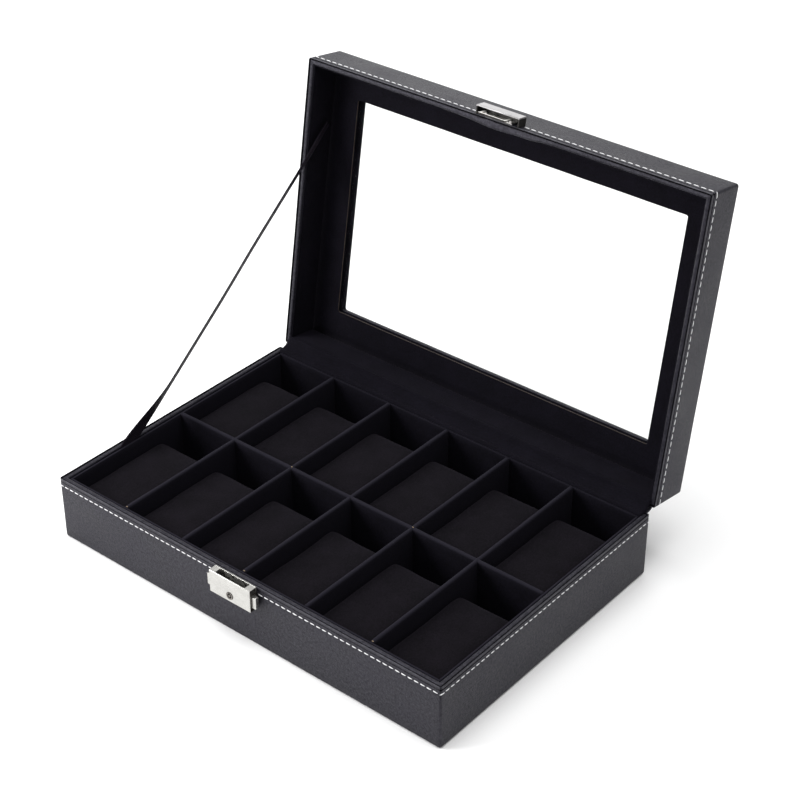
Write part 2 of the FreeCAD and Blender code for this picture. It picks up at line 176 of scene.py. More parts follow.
# ---- materials ----
class Material:
    """A node material with one Principled shader and short ways to wire it."""

    def __init__(self, name):
        self.data = bpy.data.materials.new(name)
        self.data.use_nodes = True
        self.tree = self.data.node_tree
        self.shader = self.tree.nodes["Principled BSDF"]
        self.output = self.tree.nodes["Material Output"]
        self.place = self.add("ShaderNodeTexCoord").outputs["Object"]

    def add(self, kind, **settings):
        node = self.tree.nodes.new(kind)
        for key, value in settings.items():
            setattr(node, key, value)
        return node

    def link(self, start, end):
        self.tree.links.new(start, end)

    def set(self, **values):
        """Sets sockets of the shader. Underscores stand for the spaces in their names."""
        for key, value in values.items():
            socket = self.shader.inputs[key.replace("_", " ")]
            socket.default_value = (*value, 1) if isinstance(value, tuple) else value

    def noise(self, scale, detail=3.0, rough=0.5, place=None):
        node = self.add("ShaderNodeTexNoise")
        node.inputs["Scale"].default_value = scale
        node.inputs["Detail"].default_value = detail
        node.inputs["Roughness"].default_value = rough
        self.link(place or self.place, node.inputs["Vector"])
        return node.outputs["Fac"]

    def cells(self, scale, place):
        """How far a place is from the edge of its cell."""
        node = self.add("ShaderNodeTexVoronoi", feature="DISTANCE_TO_EDGE")
        node.inputs["Scale"].default_value = scale
        self.link(place, node.inputs["Vector"])
        return node.outputs["Distance"]

    def remap(self, value, low, high, to_low=0.0, to_high=1.0):
        node = self.add("ShaderNodeMapRange")
        names = ("From Min", "From Max", "To Min", "To Max")
        for name, number in zip(names, (low, high, to_low, to_high)):
            node.inputs[name].default_value = number
        self.link(value, node.inputs["Value"])
        return node.outputs["Result"]

    def math(self, operation, first, second):
        node = self.add("ShaderNodeMath", operation=operation)
        for socket, value in zip(node.inputs, (first, second)):
            if isinstance(value, (int, float)):
                socket.default_value = value
            else:
                self.link(value, socket)
        return node.outputs["Value"]

    def weigh(self, *parts):
        """The sum of values times their weights."""
        total = None
        for value, weight in parts:
            part = self.math("MULTIPLY", value, weight)
            total = self.math("ADD", total, part) if total else part
        return total

    def blend(self, factor, dark, light):
        """A colour between two colours, or between a colour and another socket."""
        node = self.add("ShaderNodeMix", data_type="RGBA")
        self.link(factor, node.inputs["Factor"])
        for name, colour in (("A", dark), ("B", light)):
            socket = [s for s in node.inputs if s.name == name and s.type == "RGBA"][0]
            if isinstance(colour, tuple):
                socket.default_value = (*colour, 1)
            else:
                self.link(colour, socket)
        return [s for s in node.outputs if s.type == "RGBA"][0]

    def axes(self, place):
        """A place's X, Y and Z."""
        parts = self.add("ShaderNodeSeparateXYZ")
        self.link(place, parts.inputs["Vector"])
        return parts.outputs

    def within(self, low, high, turned=None):
        """1 inside the box between two corners, else 0. turned maps the place there first."""
        place = self.place
        if turned:
            turn = self.add("ShaderNodeMapping")
            turn.inputs["Rotation"].default_value = turned.to_euler()
            turn.inputs["Location"].default_value = turned.to_translation()
            self.link(place, turn.inputs["Vector"])
            place = turn.outputs["Vector"]
        mask = None
        for along, least, most in zip(self.axes(place), low, high):
            above = self.math("GREATER_THAN", along, least)
            below = self.math("LESS_THAN", along, most)
            both = self.math("MULTIPLY", above, below)
            mask = self.math("MULTIPLY", mask, both) if mask else both
        return mask

    def attribute(self, name):
        return self.add("ShaderNodeAttribute", attribute_name=name).outputs["Fac"]

    def colour(self, socket):
        self.link(socket, self.shader.inputs["Base Color"])

    def roughness(self, socket):
        self.link(socket, self.shader.inputs["Roughness"])

    def bump(self, height, distance, strength):
        node = self.add("ShaderNodeBump")
        node.inputs["Distance"].default_value = distance
        node.inputs["Strength"].default_value = strength
        self.link(height, node.inputs["Height"])
        self.link(node.outputs["Normal"], self.shader.inputs["Normal"])


def leather(name, dark, light, wear_and_highlight, rough, gloss):
    """Black embossed leathercloth: pebbled grain, uneven shine, worn fold edges with a painted
    highlight, painted crease shade.
    """
    m = Material(name)
    m.set(IOR=1.5, Specular_Tint=(0.89, 0.85, 1.0))
    warp = m.noise(700, 2.0)
    bent = m.add("ShaderNodeVectorMath", operation="MULTIPLY_ADD")
    m.link(warp, bent.inputs[0])
    bent.inputs[1].default_value = (0.0006, 0.0006, 0.0006)
    m.link(m.place, bent.inputs[2])
    pebble = m.remap(m.cells(1150, bent.outputs[0]), 0.0, 0.35)
    pores = m.noise(3600, 3.0, 0.6)
    cloud = m.noise(45, 3.0)
    patch = m.noise(620, 4.0, 0.7)
    mottle = m.weigh((cloud, 0.4), (patch, 0.6))
    body = m.blend(m.remap(mottle, 0.40, 0.60), dark, light)
    # Fold edges take the paler colour: partly wear, partly a painted highlight where the fold catches
    # the light.
    edge = m.math("MULTIPLY", m.attribute("edge"), m.remap(m.noise(320), 0.35, 0.65, 0.35, 1.0))
    # Painted shade in creases (edge below 0): near-black colour and weaker shine.
    crease = m.math("MAXIMUM", m.math("MULTIPLY", m.attribute("edge"), -1), 0.0)
    m.colour(m.blend(crease, m.blend(edge, body, wear_and_highlight), (0.0015, 0.0015, 0.0018)))
    gleam = m.remap(patch, 0.38, 0.62, gloss * 0.65, gloss * 1.35)
    gleam = m.math("MULTIPLY", gleam, m.math("SUBTRACT", 1.0, m.math("MULTIPLY", crease, 0.85)))
    m.link(gleam, m.shader.inputs["Specular IOR Level"])
    shine = m.remap(cloud, 0.3, 0.7, rough - 0.04, rough + 0.04)
    m.roughness(m.math("ADD", shine, m.remap(pores, 0.3, 0.7, -0.03, 0.05)))
    m.bump(m.weigh((pebble, 0.7), (pores, 0.3)), 0.16 * mm, 0.9)
    return m.data


def velvet(name, dark, light, raised, sheen, place="Object"):
    """Short black pile: clouds where the nap turns, fibre speckle and painted light on marked edges
    and sides.
    """
    m = Material(name)
    m.place = m.add("ShaderNodeTexCoord").outputs[place]
    m.set(IOR=1.4, Specular_IOR_Level=0.10)
    m.set(Sheen_Weight=sheen, Sheen_Roughness=0.45, Sheen_Tint=(0.78, 0.72, 0.94))
    nap = m.noise(60, 4.0, 0.6)
    tuft = m.noise(1050, 3.0, 0.7)
    fibre = m.noise(2600, 3.0, 0.65)
    lay = m.weigh((nap, 0.2), (tuft, 0.5), (fibre, 0.3))
    body = m.blend(m.remap(lay, 0.42, 0.60), dark, light)
    # Painted light: the raised colour where the edge attribute marks it, a highlight on top edges and
    # light on +X faces.
    m.colour(m.blend(m.attribute("edge"), body, raised))
    m.roughness(m.remap(fibre, 0.3, 0.7, 0.78, 0.95))
    m.bump(m.weigh((fibre, 0.6), (tuft, 0.4)), 0.25 * mm, 0.8)
    return m.data


def ribbon(name):
    """Black grosgrain: ribs across the width, drawn in the ribbon's own map."""
    m = Material(name)
    m.set(IOR=1.45, Specular_IOR_Level=0.15, Specular_Tint=(0.86, 0.74, 1.0))
    m.set(Sheen_Weight=0.02, Sheen_Roughness=0.5, Sheen_Tint=(0.82, 0.70, 0.95))
    m.place = m.add("ShaderNodeTexCoord").outputs["UV"]
    ribs = m.add("ShaderNodeTexWave", wave_type="BANDS", bands_direction="Y")
    ribs.inputs["Scale"].default_value = 260
    ribs.inputs["Distortion"].default_value = 0.6
    m.link(m.place, ribs.inputs["Vector"])
    rib = ribs.outputs["Fac"]
    weave = m.noise(1800, 2.0)
    raised = m.math("MULTIPLY", rib, weave)
    m.colour(m.blend(raised, (0.0050, 0.0040, 0.0058), (0.0200, 0.0165, 0.0235)))
    m.roughness(m.remap(weave, 0.3, 0.7, 0.5, 0.7))
    m.bump(rib, 0.12 * mm, 0.8)
    return m.data


def metal(name, colour, dull, rough, inside=None, turned=None, shown=1.0, cut=None):
    """Satin plated metal: fine brushing and faint clouding, with painted shade in the space inside.

    shown below 1 lets patches of bright metal show through that shade. Past the half width cut,
    the side walls get painted shade.
    """
    m = Material(name)
    m.set(Metallic=1.0)
    stretch = m.add("ShaderNodeMapping")
    stretch.inputs["Scale"].default_value = (300, 2600, 2600)
    m.link(m.place, stretch.inputs["Vector"])
    brush = m.noise(1.0, 3.0, 0.6, stretch.outputs["Vector"])
    cloud = m.noise(180, 3.0)
    body = m.blend(m.remap(cloud, 0.35, 0.7), colour, dull)
    shine = m.remap(brush, 0.3, 0.7, rough - 0.05, rough + 0.07)
    if inside:
        # Painted shade in the space inside; the metal is also rougher there.
        hidden = m.within(*inside, turned)
        painted_shade = m.math("MULTIPLY", hidden, m.remap(m.noise(620, 2.0), 0.42, 0.50, 1.0, shown))
        body = m.blend(painted_shade, body, (0.045, 0.043, 0.042))
        shine = m.math("ADD", shine, m.math("MULTIPLY", hidden, 0.25))
    if cut:
        # Painted shade on the side walls past the cut.
        from_middle = m.math("ABSOLUTE", m.axes(m.place)["X"], 0.0)
        past = m.math("GREATER_THAN", from_middle, cut)
        body = m.blend(past, body, (0.13, 0.12, 0.11))
    m.colour(body)
    m.roughness(shine)
    m.bump(brush, 0.02 * mm, 0.35)
    return m.data


def thread(name):
    """White waxed thread: fine fibres, a little sheen."""
    m = Material(name)
    m.set(IOR=1.45, Sheen_Weight=0.2)
    fibre = m.noise(5200, 2.0)
    m.colour(m.blend(m.remap(fibre, 0.3, 0.7), (0.64, 0.64, 0.66), (0.86, 0.86, 0.87)))
    m.roughness(m.remap(fibre, 0.3, 0.7, 0.55, 0.75))
    m.bump(fibre, 0.1 * mm, 0.5)
    return m.data


def board_core(name, dark, light, scale):
    """Pressed fibres, for fibreboard and cut card."""
    m = Material(name)
    m.set(IOR=1.4)
    fibre = m.noise(scale, 5.0, 0.7)
    m.colour(m.blend(m.remap(fibre, 0.35, 0.65), dark, light))
    m.roughness(m.remap(fibre, 0.3, 0.7, 0.75, 0.95))
    m.bump(fibre, 0.15 * mm, 0.6)
    return m.data


def window_glass(name):
    """Clear sheet glass: see-through, with a thin mirror that grows at a glance."""
    m = Material(name)
    m.tree.nodes.remove(m.shader)
    clear = m.add("ShaderNodeBsdfTransparent")
    clear.inputs["Color"].default_value = (0.985, 0.992, 0.988, 1)
    mirror = m.add("ShaderNodeBsdfGlossy")
    smear = m.remap(m.noise(60, 4.0), 0.3, 0.7, 0.01, 0.04)
    m.link(smear, mirror.inputs["Roughness"])
    glance = m.add("ShaderNodeLayerWeight").outputs["Facing"]
    mix = m.add("ShaderNodeMixShader")
    m.link(m.math("POWER", glance, 5.0), mix.inputs["Fac"])
    m.link(clear.outputs["BSDF"], mix.inputs[1])
    m.link(mirror.outputs["BSDF"], mix.inputs[2])
    m.link(mix.outputs["Shader"], m.output.inputs["Surface"])
    return m.data


cover_colours = ((0.0061, 0.0059, 0.0088), (0.0118, 0.0114, 0.0163), (0.085, 0.084, 0.098))
cover_leather = leather("cover_leather", *cover_colours, 0.47, 0.30)
rim_colours = ((0.0064, 0.0062, 0.0090), (0.0116, 0.0113, 0.0160), (0.020, 0.020, 0.024))
rim_leather = leather("rim_leather", *rim_colours, 0.47, 0.32)
pillow_colours = ((0.0013, 0.0010, 0.0017), (0.0056, 0.0043, 0.0068), (0.009, 0.007, 0.011))
pillow_velvet = velvet("pillow_velvet", *pillow_colours, 0.024)
lining_colours = ((0.0014, 0.0011, 0.0024), (0.0050, 0.0042, 0.0080), (0.014, 0.013, 0.019))
lining_velvet = velvet("lining_velvet", *lining_colours, 0.026)
hinge_velvet = velvet("hinge_velvet", *lining_colours, 0.014, "UV")
flock_colours = ((0.0080, 0.0080, 0.0090), (0.0170, 0.0170, 0.0190), (0.03, 0.03, 0.032))
flock_paper = velvet("flock_paper", *flock_colours, 0.10)
black_ribbon = ribbon("black_ribbon")
bright_nickel, dull_nickel, metal_rough = (0.525, 0.518, 0.495), (0.46, 0.452, 0.432), 0.27
nickel = metal("satin_nickel", bright_nickel, dull_nickel, metal_rough)
sheet_metal = 0.75 * mm
lock_low, lock_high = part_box("lock_cover")
lock_space = (
    (lock_low.x + sheet_metal, lock_low.y + sheet_metal, lock_low.z + sheet_metal),
    (lock_high.x - sheet_metal, -half_width + mm, lock_high.z - 0.15 * mm),
)
# Painted shade inside the lock, with patches of bright metal, and on its end walls past cut.
lock_nickel = metal(
    "lock_nickel", bright_nickel, dull_nickel, metal_rough, lock_space, shown=0.15,
    cut=lock_high.x - 0.02 * mm
)
core_low, core_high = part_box("lock_core")
# Painted shade on the core behind its front face, round the keyhole.
core_back = ((core_low.x, core_low.y + 0.06 * mm, core_low.z), core_high)
core_nickel = metal("core_nickel", (0.24, 0.22, 0.20), (0.08, 0.075, 0.07), metal_rough, core_back)
hasp_low, hasp_high = closed_box("hasp_plate")
margin = Vector((mm, mm, mm))
# Painted shade inside the hasp plate, behind its front 0.9 mm.
hasp_back = ((hasp_low.x - mm, hasp_low.y + 0.9 * mm, hasp_low.z - mm), hasp_high + margin)
hasp_nickel = metal(
    "hasp_nickel", (0.335, 0.325, 0.33), (0.28, 0.272, 0.275), 0.30, hasp_back, to_closed
)
loop_low, loop_high = closed_box("hasp_loop")
# Painted shade on the loop's tip face, standing in for a dark reflection.
loop_end = (loop_low - margin, (loop_high.x + mm, loop_high.y + mm, loop_low.z + 0.04 * mm))
loop_nickel = metal(
    "loop_nickel", (0.92, 0.90, 0.86), (0.74, 0.72, 0.69), 0.42, loop_end, to_closed
)
spring_steel = metal("spring_steel", (0.50, 0.50, 0.52), (0.40, 0.40, 0.42), 0.30)
white_thread = thread("white_thread")
fibreboard = board_core("fibreboard", (0.20, 0.12, 0.065), (0.36, 0.24, 0.14), 900)
cut_card = board_core("cut_card", (0.045, 0.034, 0.024), (0.120, 0.092, 0.068), 1400)
bare_card = board_core("bare_card", (0.10, 0.07, 0.04), (0.26, 0.19, 0.12), 2000)
clear_glass = window_glass("clear_glass")


# ---- mesh tools ----
def ripple(point, scale, seed):
    """A smooth number between about -1 and 1 that changes over 1/scale metres."""
    return noise.noise(point * scale + Vector((seed, -seed, 2 * seed)))


def put(name, data):
    """A new object in the scene."""
    thing = bpy.data.objects.new(name, data)
    bpy.context.scene.collection.objects.link(thing)
    return thing


def piece(name, mesh, body, materials, replaced=()):
    """A finished mesh as a piece that rides on a body and stands for CAD nodes.

    The lid's meshes come shut and open here.
    """
    if body == "lid":
        mesh.transform(to_open)
    for material in materials:
        mesh.materials.append(material)
    thing = put(name, mesh)
    if body:
        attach(thing, body)
    if replaced:
        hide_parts(*replaced)
    return thing


def mesh_of(name, points, faces):
    """A smooth mesh with its faces turned outwards."""
    mesh = bpy.data.meshes.new(name)
    mesh.from_pydata([tuple(p) for p in points], [], faces)
    form = bmesh.new()
    form.from_mesh(mesh)
    bmesh.ops.recalc_face_normals(form, faces=form.faces)
    form.to_mesh(mesh)
    form.free()
    mesh.shade_smooth()
    return mesh


def rounded_rectangle(half_x, half_y, z, radius):
    """Points round a rectangle with rounded corners. Every size has the same count of points."""
    corners = ((1, -1, -90), (1, 1, 0), (-1, 1, 90), (-1, -1, 180))
    arcs = []
    for sx, sy, start in corners:
        arc = []
        for step in range(corner_steps + 1):
            turn = math.radians(start + 90 * step / corner_steps)
            x = sx * (half_x - radius) + radius * math.cos(turn)
            y = sy * (half_y - radius) + radius * math.sin(turn)
            arc.append(Vector((x, y, z)))
        arcs.append(arc)
    points = []
    for i, arc in enumerate(arcs):
        points += arc
        steps = short_steps if i % 2 == 0 else long_steps
        target = arcs[(i + 1) % 4][0]
        points += [arc[-1].lerp(target, s / steps) for s in range(1, steps)]
    return points


def lengths_along(points):
    """How far along a line each of its points is."""
    lengths = [0.0]
    for a, b in zip(points, points[1:]):
        lengths.append(lengths[-1] + (b - a).length)
    return lengths


def mixed(a, b, share):
    """Numbers between two rows of numbers."""
    return tuple(p + (q - p) * share for p, q in zip(a, b))


def section(points):
    """A closed section's stations with bends rounded off and long runs divided.

    Each point is half_x, half_y, z, corner radius and the bend that rounds it.
    """
    stations = []
    for i, point in enumerate(points):
        before, after = points[i - 1], points[(i + 1) % len(points)]
        bend = point[4]
        if not bend:
            stations.append(point[:4])
            continue
        into = mixed(point, before, bend / max(span(point, before), bend))
        out = mixed(point, after, bend / max(span(point, after), bend))
        for step in range(5):
            share = step / 4
            first = mixed(into, point, share)
            second = mixed(point, out, share)
            stations.append(mixed(first, second, share)[:4])
    rows = []
    for i, station in enumerate(stations):
        rows.append(station)
        following = stations[(i + 1) % len(stations)]
        pieces = int(span(station, following) // row_step)
        rows += [mixed(station, following, s / (pieces + 1)) for s in range(1, pieces + 1)]
    return rows


def span(a, b):
    """How far apart two stations are in the section."""
    return math.hypot(a[0] - b[0], a[2] - b[2])


def ring_faces(bands, rings, around):
    """Quads for some bands, each from one ring of points to the next."""
    faces = []
    for i in range(bands):
        j = (i + 1) % rings
        for k in range(around):
            n = (k + 1) % around
            faces.append((i * around + k, i * around + n, j * around + n, j * around + k))
    return faces


def ring_loft(name, points, shape):
    """A closed band round the box, from its section. shape moves each point."""
    rings = [rounded_rectangle(*row) for row in section(points)]
    cloud = [shape(p) for ring in rings for p in ring]
    return mesh_of(name, cloud, ring_faces(len(rings), len(rings), len(rings[0])))


def edge_values(mesh, low, high, reach, mouth, creased):
    """Marks how near each point is to an edge of the box between two corners, from 0 to 1.

    creased tells from a point's inset and depth from the mouth whether it lies in a crease, -1:
    painted shade.
    """
    marks = mesh.attributes.new("edge", "FLOAT", "POINT")
    for vertex, mark in zip(mesh.vertices, marks.data):
        p = vertex.co
        gaps = [min(abs(p[i] - low[i]), abs(p[i] - high[i])) for i in range(3)]
        near = max(0.0, 1 - sum(sorted(gaps)[:2]) / reach)
        mark.value = -1.0 if creased(min(gaps[:2]), abs(p.z - mouth)) else near


def cover_creases(inset, depth):
    """Where shade is painted: the pressed line above the stitches and the cleft beside the rim band.
    """
    pressed_line = abs(depth - press_depth) < 0.2 * mm and inset > 0.15 * mm
    cleft = inset > 0.25 * mm and 0.25 * mm < depth < 4 * mm
    return pressed_line or cleft


def band_creases(inset, depth):
    """Where shade is painted: the outer side of the rim band, in the cleft."""
    return inset < 1.25 * mm and depth > 0.35 * mm


def box_form(low, high):
    """A box between two corners, as a mesh still in the making."""
    form = bmesh.new()
    bmesh.ops.create_cube(form, size=1.0)
    for vertex in form.verts:
        vertex.co = Vector([low[i] + (vertex.co[i] + 0.5) * (high[i] - low[i]) for i in range(3)])
    return form


# ---- leather covers ----
def side(inset, z, bend=0.0):
    """A station on the walls: inset from the outer faces."""
    radius = max(corner_radius - inset, inner_corner)
    return (half_length - inset, half_width - inset, z, radius, bend)


def at_window(out, z, bend=0.0):
    """A station round the window: out from its edge."""
    return (window_x + out, window_y + out, z, window_corner, bend)


def soft_leather(amount, scale, seed):
    """A shape that lets a leather surface wander a little."""
    def shape(p):
        return p + Vector([ripple(p, scale, seed + more) for more in (0, 5, 9)]) * amount
    return shape


def lip(mouth, up):
    """The cover's edge at the mouth, from the pressed line over the rim to the inner side.

    up is 1 on the base, whose mouth faces up, and -1 on the shut lid.
    """
    return [
        side(0, mouth - up * (press_depth + 0.45 * mm), 0.2 * mm),
        side(0.45 * mm, mouth - up * press_depth, 0.1 * mm),
        side(0.02 * mm, mouth - up * (press_depth - 0.55 * mm), 0.3 * mm),
        side(0.02 * mm, mouth, 0.3 * mm),
        side(lip_skin, mouth, 0.2 * mm),
        side(lip_skin, mouth - up * 1.6 * mm),
        side(cover_skin, mouth - up * 1.8 * mm),
    ]


def rim_band(rim, root, up):
    """The leather folded over the boards' edges: outside up from its root, over the rim and down.

    Each station has an inset and a depth below the rim, in mm. up is as for lip.
    """
    def at(inset, depth, bend=0.0):
        return side(inset * mm, rim - up * depth * mm, bend * mm)

    def foot(inset):
        return side(inset * mm, root)

    return [
        foot(0.9),
        at(0.9, 1.0, 0.1),
        at(1.05, 0.40, 0.1),
        at(1.9, 0.05, 0.4),
        at(2.9, -0.12, 0.45),
        at(3.75, 0.30, 0.35),
        at(4.0, 0.95, 0.25),
        foot(4.0),
        foot(3.65),
        at(3.65, 1.1),
        at(1.18, 0.7),
        foot(1.18),
    ]


def make_base_leather():
    top, bottom = base_high.z, base_low.z
    inner = bottom + cover_skin
    cover = [
        side(turned_under, bottom),
        side(0, bottom, 1.1 * mm),
        *lip(top, 1),
        side(cover_skin, inner, 0.4 * mm),
        side(turned_under, inner),
    ]
    mesh = ring_loft("base_cover", cover, soft_leather(0.07 * mm, 28, 1.0))
    edge_values(mesh, base_low, base_high, cover_edge, top, cover_creases)
    piece("base_cover", mesh, "base", [cover_leather], ["base_leather_cover"])

    band = rim_band(base_rim_high.z, base_rim_low.z, 1)
    mesh = ring_loft("base_rim", band, soft_leather(0.08 * mm, 60, 3.0))
    edge_values(mesh, base_low, base_high, rim_edge, top, band_creases)
    piece("base_rim", mesh, "base", [rim_leather], ["base_rim_wrap"])


def front_bulge(p):
    """The inner side of the lid's front rim band is pushed inwards a little behind the hasp."""
    if p.y > -half_width + 5 * mm:
        return Vector()
    near_mouth = max(0.0, 1 - (p.z - lid_low.z) / (6 * mm))
    inwards = max(0.0, (p.y + half_width - mm) / (3 * mm))
    hump = math.exp(-((p.x / (22 * mm)) ** 2))
    hump += 0.35 * math.exp(-(((p.x - 24 * mm) / (9 * mm)) ** 2))
    return Vector((0, 2.2 * mm, -0.5 * mm)) * (near_mouth * inwards * hump)


def make_lid_leather():
    top, mouth = lid_high.z, lid_low.z
    inner = top - cover_skin
    glass_top = glass_high.z - 0.05 * mm
    cover = [
        *reversed(lip(mouth, -1)),
        side(0, top, 1.3 * mm),
        at_window(0, top, 0.9 * mm),
        at_window(0, glass_top),
        at_window(window_return, glass_top),
        at_window(window_return, inner),
        side(cover_skin, inner),
    ]
    mesh = ring_loft("lid_cover", cover, soft_leather(0.07 * mm, 28, 2.0))
    edge_values(mesh, lid_low, lid_high, cover_edge, mouth, cover_creases)
    for face in mesh.polygons:
        x, y, z = face.center
        past_window = abs(x) > window_x + window_return or abs(y) > window_y + window_return
        if not past_window and z <= top - 0.8 * mm:
            face.material_index = 2 if abs(face.normal.y) > 0.7 else 1
    surfaces = [cover_leather, lining_velvet, rim_leather]
    piece("lid_cover", mesh, "lid", surfaces, ["lid_leather_cover"])

    band = rim_band(lid_rim_low.z, lid_rim_high.z, -1)
    wander = soft_leather(0.08 * mm, 60, 4.0)
    mesh = ring_loft("lid_rim", band, lambda p: wander(p) + front_bulge(p))
    edge_values(mesh, lid_low, lid_high, rim_edge, mouth, band_creases)
    piece("lid_rim", mesh, "lid", [rim_leather], ["lid_rim_wrap"])


# ---- stitching ----
def stitch(centre, along, outward, length, seed):
    """One stitch: a short two-ply thread whose ends dive into the leather."""
    across = outward.cross(along).normalized()
    slant = math.radians(-2 + 3 * ripple(centre, 400, seed))
    along = (along * math.cos(slant) + across * math.sin(slant)).normalized()
    across = outward.cross(along).normalized()
    points = []
    for i in range(stitch_rings):
        t = -1 + 2 * i / (stitch_rings - 1)
        fat = math.sqrt(max(1 - t**4, 0.04))
        depth = (0.10 - 0.34 * t**4) * mm
        middle = centre + along * (t * length / 2) + outward * depth
        for k in range(stitch_sides):
            turn = 2 * math.pi * k / stitch_sides
            ply = 1 + 0.10 * math.cos(2 * turn - 4.5 * t)
            offset = across * (math.cos(turn) * thread_width / 2 * fat * ply)
            offset += outward * (math.sin(turn) * thread_height / 2 * fat * ply)
            points.append(middle + offset)
    last = (stitch_rings - 1) * stitch_sides
    ends = [tuple(range(stitch_sides)), tuple(range(last, last + stitch_sides))]
    return points, ends + ring_faces(stitch_rings - 1, stitch_rings, stitch_sides)


def stitch_row(name, z, pitch, body):
    """A row of stitches round the shut box at one height, left out behind the clasp."""
    path = rounded_rectangle(half_length, half_width, z, corner_radius)
    path.append(path[0])
    lengths = lengths_along(path)
    count = round(lengths[-1] / pitch)
    length = pitch - stitch_gap
    points, faces = [], []
    leg = 0
    for i in range(count):
        want = (i + 0.5) * lengths[-1] / count
        while lengths[leg + 1] < want:
            leg += 1
        a, b = path[leg], path[leg + 1]
        centre = a.lerp(b, (want - lengths[leg]) / (lengths[leg + 1] - lengths[leg]))
        if abs(centre.x) < clasp_half + length / 2 and abs(centre.y + half_width) < mm:
            continue
        along = (b - a).normalized()
        outward = along.cross(Vector((0, 0, 1)))
        if outward.y > 0.99 and abs(centre.x) < hinge_half:
            centre += outward * hinge_proud
        new_points, new_faces = stitch(centre, along, outward, length, i * 0.37)
        start = len(points)
        points += new_points
        faces += [tuple(start + k for k in face) for face in new_faces]
    mesh = mesh_of(name, points, faces)
    piece(name, mesh, body, [white_thread])


# ---- velvet boards ----
def board_mesh(name, low, high, bend, rough, seed, pale=0.0, nap=0.0):
    """A covered board: rounded edges and faces that are not quite flat.

    pale paints a highlight along its top edge and nap paints light on its face towards +X.
    """
    size = high - low
    form = box_form(low, high)
    bmesh.ops.bevel(
        form, geom=form.edges[:], offset=bend, segments=3, profile=0.5, affect="EDGES",
        clamp_overlap=True
    )
    for axis in range(3):
        cuts = int((size[axis] - 2 * bend) // board_step)
        for k in range(1, cuts + 1):
            place, normal = Vector(), Vector()
            place[axis] = low[axis] + bend + (size[axis] - 2 * bend) * k / (cuts + 1)
            normal[axis] = 1
            geometry = form.verts[:] + form.edges[:] + form.faces[:]
            bmesh.ops.bisect_plane(form, geom=geometry, plane_co=place, plane_no=normal)
    form.normal_update()
    for vertex in form.verts:
        p = vertex.co
        wave = 0.6 * ripple(p, 45, seed) + 0.4 * ripple(p, 170, seed + 3)
        vertex.co += vertex.normal * wave * rough
    mesh = bpy.data.meshes.new(name)
    form.to_mesh(mesh)
    form.free()
    marks = mesh.attributes.new("edge", "FLOAT", "POINT")
    for vertex, mark in zip(mesh.vertices, marks.data):
        at_top = max(0.0, 1 - (high.z - vertex.co.z) / pale_reach)
        mark.value = max(pale * at_top, nap * max(0.0, vertex.normal.x))
    mesh.shade_smooth()
    return mesh


def velvet_board(node, bend, rough, seed, grow=Vector(), pale=0.0):
    """A velvet board in place of a node of the base or of the shut lid."""
    # nap paints light on faces towards +X, on the base's boards only.
    if node.startswith("lid"):
        body, (low, high), nap = "lid", closed_box(node), 0.0
    else:
        body, (low, high), nap = "base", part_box(node), lining_side_light
    mesh = board_mesh(node, low - grow, high + grow, bend, rough, seed, pale, nap)
    piece(f"velvet_{node}", mesh, body, [lining_velvet], [node])


def make_linings():
    for i, name in enumerate(("floor", "front", "back", "left", "right")):
        bend = 0.3 * mm if name == "floor" else 0.55 * mm
        # Painted highlight along the top edge: none on the floor, faint on the back.
        pale = {"floor": 0.0, "back": 0.25}.get(name, 0.7)
        velvet_board(f"base_{name}_lining", bend, 0.16 * mm, 10.0 + i, pale=pale)
    dividers = [("long_divider", Vector((0.5 * mm, 0, 0)))]
    dividers += [(f"cross_divider_{i + 1}", Vector((0, 0.5 * mm, 0))) for i in range(5)]
    for i, (name, grow) in enumerate(dividers):
        velvet_board(name, divider_bend, divider_rough, 20.0 + i, grow, divider_pale)
    for i, name in enumerate(("front", "back", "left", "right")):
        velvet_board(f"lid_{name}_lining", 0.3 * mm, 0.12 * mm, 30.0 + i)


def make_window_card():
    """The velvet-covered card round the window, with its cut edge bare."""
    low, high = closed_box("lid_lining_frame")
    middle = Vector(((card_left + card_right) / 2, (card_front + card_back) / 2, 0))
    edge_x = (card_right - card_left) / 2
    edge_y = (card_back - card_front) / 2
    back = glass_low.z

    def outer(z):
        return (high.x, high.y, z, inner_corner, 0.0)

    def inner(z, bend=0.0):
        return (edge_x, edge_y, z, window_corner, bend)

    def rebate(z):
        return (glass_high.x + 0.2 * mm, glass_high.y + 0.2 * mm, z, inner_corner, 0.0)

    points = [
        outer(low.z),
        inner(low.z, 0.10 * mm),
        inner(low.z + 0.15 * mm),
        inner(low.z + 0.50 * mm),
        inner(back),
        rebate(back),
        rebate(high.z),
        outer(high.z),
    ]
    wander = soft_leather(0.10 * mm, 50, 7.0)

    def placed(p):
        at_opening = abs(p.x) < edge_x + mm and abs(p.y) < edge_y + mm
        return wander(p) + (middle if at_opening else Vector())

    mesh = ring_loft("velvet_window_card", points, placed)
    for face in mesh.polygons:
        x, y, z = face.center - middle
        inside = abs(x) < edge_x + 0.3 * mm and abs(y) < edge_y + 0.3 * mm
        at_edge = abs(x) > edge_x - 0.3 * mm or abs(y) > edge_y - 0.3 * mm
        if at_edge and inside and low.z + 0.12 * mm < z < low.z + 0.52 * mm:
            face.material_index = 1
            face.use_smooth = False
    surfaces = [lining_velvet, cut_card]
    piece("velvet_window_card", mesh, "lid", surfaces, ["lid_lining_frame"])


